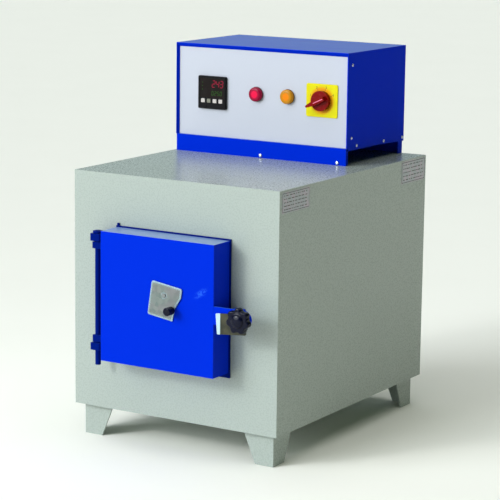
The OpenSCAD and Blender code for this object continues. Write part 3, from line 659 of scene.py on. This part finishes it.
def make_latch_knob():
    """A moulded star knob with rounded lobes and a polished crown."""
    lo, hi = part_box("latch_knob")
    at = joint_at("latch_turn")
    outer = hi.z - at.z
    lobes, lobe_r, core = 7, 6.5 * MM, outer - 4 * MM
    crown_h, soft = 4.5 * MM, 3 * MM
    front, back = lo.y + crown_h, hi.y - soft
    points, rings = 126, []
    bm = bmesh.new()

    def ring(y, inset, circle=None):
        made = []
        for i in range(points):
            angle = 2 * math.pi * i / points
            r = circle or lobed_radius(angle, lobes, outer, lobe_r, core) - inset
            made.append(bm.verts.new((at.x + r * math.cos(angle), y, at.z + r * math.sin(angle))))
        rings.append(made)

    ring(hi.y, 0, 11 * MM)
    ring(back + 0.6 * MM, 0, 11.6 * MM)
    ring(back, 0, 12 * MM)
    quarter = [math.pi / 2 * step / 5 for step in range(6)]
    for angle in quarter:
        ring(back - soft * (1 - math.cos(angle)), soft * (1 - math.sin(angle)))
    for angle in quarter:
        ring(front + soft * (1 - math.sin(angle)), soft * (1 - math.cos(angle)))
    ring(front + 0.3 * MM, 0, 13.6 * MM)
    for r, h in dome(13 * MM, crown_h, 8)[:-1]:
        ring(front - h, 0, r)
    tip = bm.verts.new((at.x, lo.y, at.z))
    for low, high in zip(rings, rings[1:]):
        for i in range(points):
            j = (i + 1) % points
            bm.faces.new((low[i], low[j], high[j], high[i]))
    for i in range(points):
        bm.faces.new((rings[-1][i], rings[-1][(i + 1) % points], tip))
    bm.faces.new(rings[0])
    knob = piece_from(bm, "star_knob", "latch", "black_plastic", look="knob_plastic")
    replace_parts(knob, "latch_knob")


def make_cover_knob():
    """A turned knob with a narrow neck, a grooved grip and a rounded front."""
    lo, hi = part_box("sight_cover_knob")
    mid = (lo + hi) / 2
    r, long = (hi.x - lo.x) / 2, hi.y - lo.y
    profile = [(0, 0), (5 * MM, 0), (5 * MM, 4.6 * MM), (r * 0.93, 5.2 * MM), (r, 6 * MM)]
    for k in range(5):
        y = (8 + 2 * k) * MM
        profile += [(r, y), (r - 0.35 * MM, y + 0.5 * MM), (r, y + MM)]
    profile += [(r, long - 1.5 * MM), (r * 0.96, long - 0.7 * MM), (r * 0.85, long - 0.1 * MM),
                (r * 0.8, long), (0, long - 0.2 * MM)]
    bm = bmesh.new()
    lathe(bm, [(a, -b) for a, b in profile], (mid.x, hi.y, mid.z), "Y", 64)
    knob = piece_from(bm, "turned_knob", "sight_flap", "black_plastic", look="knob_plastic")
    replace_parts(knob, "sight_cover_knob")


def make_lens(node):
    """A pilot lamp's cap: a straight skirt, a rounded shoulder and fine rings on its front."""
    lo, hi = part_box(node)
    mid = (lo + hi) / 2
    r, high = (hi.x - lo.x) / 2, hi.y - lo.y
    shoulder = 4 * MM
    profile = [(0, 0), (r, 0), (r, high - shoulder)]
    profile += [(r - shoulder * (1 - c), high - shoulder + shoulder * h * 0.9)
                for c, h in ((math.cos(a), math.sin(a)) for a in (0.3, 0.6, 0.9, 1.2, 1.5))]
    inner = r - shoulder
    for k in range(1, 9):
        ridge = 0.10 * MM if k % 2 else 0
        profile.append((inner * (1 - k / 9), high - 0.4 * MM + 0.035 * MM * k + ridge))
    profile.append((0, high))
    bm = bmesh.new()
    lathe(bm, [(a, -b) for a, b in profile], (mid.x, hi.y, mid.z), "Y", 72)
    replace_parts(piece_from(bm, node + "_cap", "cabinet", node), node)


# The lit bars of each digit shown: a at the top, then clockwise b to f, and g across the middle
SEGMENTS = {"0": "abcdef", "2": "abged", "3": "abgcd", "4": "fgbc", "5": "afgcd"}


def seven_segment(bm, text, left, top, y, height, pitch):
    """Adds lit digits, each bar a long hexagon, leaning slightly to the right."""
    wide, thick = height * 0.5, height * 0.13
    half = height / 2
    bars = {
        "a": (0, 0, 1), "g": (0, half, 1), "d": (0, height, 1),
        "f": (0, 0, 0), "e": (0, half, 0), "b": (wide, 0, 0), "c": (wide, half, 0),
    }
    for n, digit in enumerate(text):
        for bar in SEGMENTS[digit]:
            x, down, flat = bars[bar]
            long = wide if flat else half
            gap, t = thick * 0.25, thick / 2
            outline = [(gap, 0), (gap + t, t), (long - gap - t, t), (long - gap, 0),
                       (long - gap - t, -t), (gap + t, -t)]
            if not flat:
                outline = [(v, u) for u, v in outline]
            verts = []
            for u, v in outline:
                lean = (height - down - v) * 0.10
                verts.append(bm.verts.new((left + n * pitch + x + u + lean, y, top - down - v)))
            front = bm.faces.new(verts)
            made = bmesh.ops.extrude_face_region(bm, geom=[front])
            moved = [v for v in made["geom"] if isinstance(v, bmesh.types.BMVert)]
            bmesh.ops.translate(bm, verts=moved, vec=(0, -0.15 * MM, 0))


def make_display():
    """The measured temperature in red over the set one in green."""
    lo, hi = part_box("controller_window")
    wide, high = hi.x - lo.x, hi.z - lo.z
    y = lo.y
    bm = bmesh.new()
    seven_segment(bm, "243", lo.x + wide * 0.50, hi.z - high * 0.12, y, high * 0.33, high * 0.235)
    piece_from(bm, "process_digits", "cabinet", "smoked_window", look="red_digits")
    bm = bmesh.new()
    seven_segment(bm, "0250", lo.x + wide * 0.48, hi.z - high * 0.66, y, high * 0.2, high * 0.165)
    piece_from(bm, "set_digits", "cabinet", "smoked_window", look="green_digits")


def make_controller_trim():
    """A thin raised rim round the controller's front, and status dots beside the display."""
    lo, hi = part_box("controller_body")
    key_y = min(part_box(f"controller_key_{k}")[0].y for k in (1, 2, 3, 4))
    front = lo.y
    bm = bmesh.new()
    rim, proud = 1.6 * MM, min(0.6 * MM, front - key_y)
    for a, b in (((lo.x, hi.z - rim), (hi.x, hi.z)), ((lo.x, lo.z), (hi.x, lo.z + rim)),
                 ((lo.x, lo.z), (lo.x + rim, hi.z)), ((hi.x - rim, lo.z), (hi.x, hi.z))):
        inset = 0.8 * MM
        slab(bm, (max(a[0], lo.x + inset), front - proud, max(a[1], lo.z + inset)),
             (min(b[0], hi.x - inset), front + 0.2 * MM, min(b[1], hi.z - inset)))
    trim = piece_from(bm, "controller_rim", "cabinet", "black_plastic")
    round_off(trim, 0.3 * MM)
    window_lo, window_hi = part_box("controller_window")
    bm = bmesh.new()
    for k in range(3):
        lathe(bm, [(0, 0), (0.9 * MM, 0), (0.9 * MM, -0.2 * MM), (0, -0.25 * MM)],
              (window_lo.x + 6 * MM, window_lo.y, window_hi.z - (9 + 7 * k) * MM), "Y", 16)
    piece_from(bm, "status_dots", "cabinet", "smoked_window", look="green_digits")


def make_dial():
    """Ticks and numbers on the switch's plate, one for each position of the knob."""
    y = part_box("switch_plate")[0].y
    at = joint_at("selector_turn")
    bm = bmesh.new()
    for n in range(POSITIONS):
        clock = math.radians(FIRST_POSITION + POSITION_STEP * n)
        outwards = Vector((math.sin(clock), 0, math.cos(clock)))
        turn = Matrix.Translation((at.x, 0, at.z)) @ Matrix.Rotation(clock, 4, "Y")
        slab(bm, (-0.45 * MM, y - 0.12 * MM, 21.5 * MM), (0.45 * MM, y + 0.1 * MM, 24.0 * MM), turn)
        curve = bpy.data.curves.new("figure", "FONT")
        curve.body = str(n)
        curve.size = 6.5 * MM
        curve.align_x = "CENTER"
        curve.align_y = "CENTER"
        curve.extrude = 0.06 * MM
        curve.resolution_u = 3
        holder = bpy.data.objects.new("figure", curve)
        flat = bpy.data.meshes.new_from_object(holder)
        place = Vector((at.x, y - 0.05 * MM, at.z)) + outwards * 27.8 * MM
        flat.transform(Matrix.Translation(place) @ Matrix.Rotation(math.pi / 2, 4, "X"))
        bm.from_mesh(flat)
        bpy.data.meshes.remove(flat)
        bpy.data.objects.remove(holder)
        bpy.data.curves.remove(curve)
    piece_from(bm, "dial_marks", "cabinet", "black_plastic", look="print")


def make_selector_line():
    """A paler pink line along the grip of the selector knob, a painted highlight."""
    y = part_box("selector_knob")[0].y - 0.12 * MM
    at = joint_at("selector_turn")
    clock = math.radians(FIRST_POSITION)
    bm = bmesh.new()
    turn = Matrix.Translation((at.x, 0, at.z)) @ Matrix.Rotation(clock, 4, "Y")
    slab(bm, (-0.7 * MM, y, -13 * MM), (0.7 * MM, y + 0.5 * MM, 10 * MM), turn)
    piece_from(bm, "grip_line", "selector", "red_knob", look="grip_highlight")


def make_label_print():
    """Rows of faint bars inside a ruled border on each data plate, with nothing written."""
    chance = random.Random(7)
    raised = 0.06 * MM
    plates, bm = bmesh.new(), bmesh.new()
    for lo, hi in islands("data_plates"):
        slab(plates, lo, (hi.x - raised, hi.y, hi.z))
        x0, x1 = hi.x - 2 * raised, hi.x

        def mark(y_lo, z_lo, y_hi, z_hi):
            slab(bm, (x0, y_lo, z_lo), (x1, y_hi, z_hi))

        edge, line = 1.5 * MM, 1.1 * MM
        mark(lo.y + edge, lo.z + edge, hi.y - edge, lo.z + edge + line)
        mark(lo.y + edge, hi.z - edge - line, hi.y - edge, hi.z - edge)
        mark(lo.y + edge, lo.z + edge, lo.y + edge + line, hi.z - edge)
        mark(hi.y - edge - line, lo.z + edge, hi.y - edge, hi.z - edge)
        rows = 5
        for k in range(rows):
            z = lo.z + edge + (hi.z - lo.z - 2 * edge) * (k + 0.7) / (rows + 0.6)
            y = lo.y + 7 * MM
            while y < hi.y - 12 * MM:
                long = chance.uniform(3, 11) * MM
                mark(y, z, min(y + long, hi.y - 6 * MM), z + 1.7 * MM)
                y += long + chance.uniform(1.5, 5) * MM
    piece_from(bm, "label_print", "cabinet", "label_foil", look="print")
    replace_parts(piece_from(plates, "foil_plates", "cabinet", "label_foil"), "data_plates")


# ---------- Assembly ----------

for node, obj in NODES.items():
    wear(obj, slot_of(node), OTHER_LOOKS.get(node))
    if slot_of(node) in ROUNDING:
        softened(node, ROUNDING[slot_of(node)] * MM)

make_panel_screws()
make_latch_knob()
make_cover_knob()
make_lens("red_lens")
make_lens("amber_lens")
make_display()
make_controller_trim()
make_dial()
make_selector_line()
make_label_print()

# ---------- Camera, light and floor ----------

# The photograph's camera: its place in metres, its angles in degrees, and its focal length and
# sensor width in millimetres
CAMERA_AT = (2.0933, -3.4071, 1.1089)
YAW, PITCH, ROLL = 31.486, 10.727, 0.697
FOCAL_LENGTH, SENSOR = 147.1, 36

# The colours of the studio world
LEFT_LIGHT = (0.24, 0.26, 0.27)
RIGHT_LIGHT = (0.02, 0.045, 0.0)
BACK_LIGHT = (0.42, 0.56, 0.58)
HORIZON = (0.80, 0.82, 0.80)


def make_camera():
    """The photograph's view: from the right of the front, a little above."""
    yaw, pitch, roll = math.radians(YAW), math.radians(PITCH), math.radians(ROLL)
    forward = Vector((-math.sin(yaw) * math.cos(pitch), math.cos(yaw) * math.cos(pitch),
                      -math.sin(pitch)))
    right = forward.cross(Vector((0, 0, 1))).normalized()
    up = right.cross(forward)
    tilted_right = right * math.cos(roll) + up * math.sin(roll)
    tilted_up = up * math.cos(roll) - right * math.sin(roll)
    data = bpy.data.cameras.new("camera")
    data.sensor_width = SENSOR
    data.lens = FOCAL_LENGTH
    camera = bpy.data.objects.new("camera", data)
    turn = Matrix((tilted_right, tilted_up, -forward)).transposed().to_4x4()
    camera.matrix_world = Matrix.Translation(CAMERA_AT) @ turn
    data.clip_end = 200
    bpy.context.scene.collection.objects.link(camera)
    bpy.context.scene.camera = camera


def add_light(kind, name, strength, towards, angle=0.0, place=None, size=1.0, colour=(1, 1, 1)):
    """A sun as wide as angle, in degrees, or a square softbox at a place."""
    data = bpy.data.lights.new(name, kind)
    data.energy = strength
    data.color = colour
    light = bpy.data.objects.new(name, data)
    light.rotation_mode = "QUATERNION"
    light.rotation_quaternion = Vector(towards).to_track_quat("-Z", "Y")
    if kind == "SUN":
        data.angle = math.radians(angle)
    else:
        data.shape = "RECTANGLE"
        data.size = size
        data.size_y = size
        light.location = place
    bpy.context.scene.collection.objects.link(light)


def studio_world():
    """Soft light all round: cool from the left, faint olive from the right, bright behind."""
    world = bpy.data.worlds.new("studio")
    bpy.context.scene.world = world
    world.use_nodes = True
    tree = world.node_tree

    def node(kind, **settings):
        made = tree.nodes.new(kind)
        for key, value in settings.items():
            setattr(made, key, value)
        return made

    def facing(direction, low, high):
        dot = node("ShaderNodeVectorMath", operation="DOT_PRODUCT")
        tree.links.new(view, dot.inputs[0])
        dot.inputs[1].default_value = Vector(direction).normalized()
        ramp = node("ShaderNodeMapRange", interpolation_type="SMOOTHSTEP")
        tree.links.new(dot.outputs["Value"], ramp.inputs["Value"])
        ramp.inputs["From Min"].default_value = low
        ramp.inputs["From Max"].default_value = high
        return ramp.outputs["Result"]

    def blend(fac, a, colour):
        made = node("ShaderNodeMix", data_type="RGBA")
        tree.links.new(fac, made.inputs[0])
        if isinstance(a, tuple):
            made.inputs[6].default_value = (*a, 1)
        else:
            tree.links.new(a, made.inputs[6])
        made.inputs[7].default_value = (*colour, 1)
        return made.outputs[2]

    view = node("ShaderNodeTexCoord").outputs["Generated"]
    tone = blend(facing((1, 0, 0), -0.5, 0.35), LEFT_LIGHT, RIGHT_LIGHT)
    tone = blend(facing((-0.50, 0.84, 0.12), 0.80, 0.96), tone, BACK_LIGHT)
    tone = blend(facing((0, 0, -1), -0.10, -0.04), tone, HORIZON)
    background = tree.nodes["Background"]
    tree.links.new(tone, background.inputs["Color"])


def make_stage():
    """The pale floor and the lights, with colours shown as they are."""
    scene = bpy.context.scene
    scene.view_settings.view_transform = "Standard"
    studio_world()
    bm = bmesh.new()
    bmesh.ops.create_grid(bm, x_segments=8, y_segments=8, size=60)
    mesh = bpy.data.meshes.new("floor")
    bm.to_mesh(mesh)
    bm.free()
    floor = bpy.data.objects.new("floor", mesh)
    scene.collection.objects.link(floor)
    s = Shader("floor")
    s.set(base_color=s.mix(s.noise(3, 2), (0.94, 0.94, 0.87), (0.96, 0.96, 0.89)), roughness=0.9)
    s.set(specular_ior_level=0.1)
    mesh.materials.append(s.material)
    add_light("SUN", "key", 2.52, (0.48, 0.78, -0.40), angle=46, colour=(0.93, 0.99, 1.05))
    add_light("SUN", "overhead", 1.4, (-0.06, 0.10, -1), angle=64)
    add_light("AREA", "softbox", 26, (0.48, 0.78, -0.41), place=(-1.2, -2.6, 1.5), size=0.42)


make_camera()
make_stage()
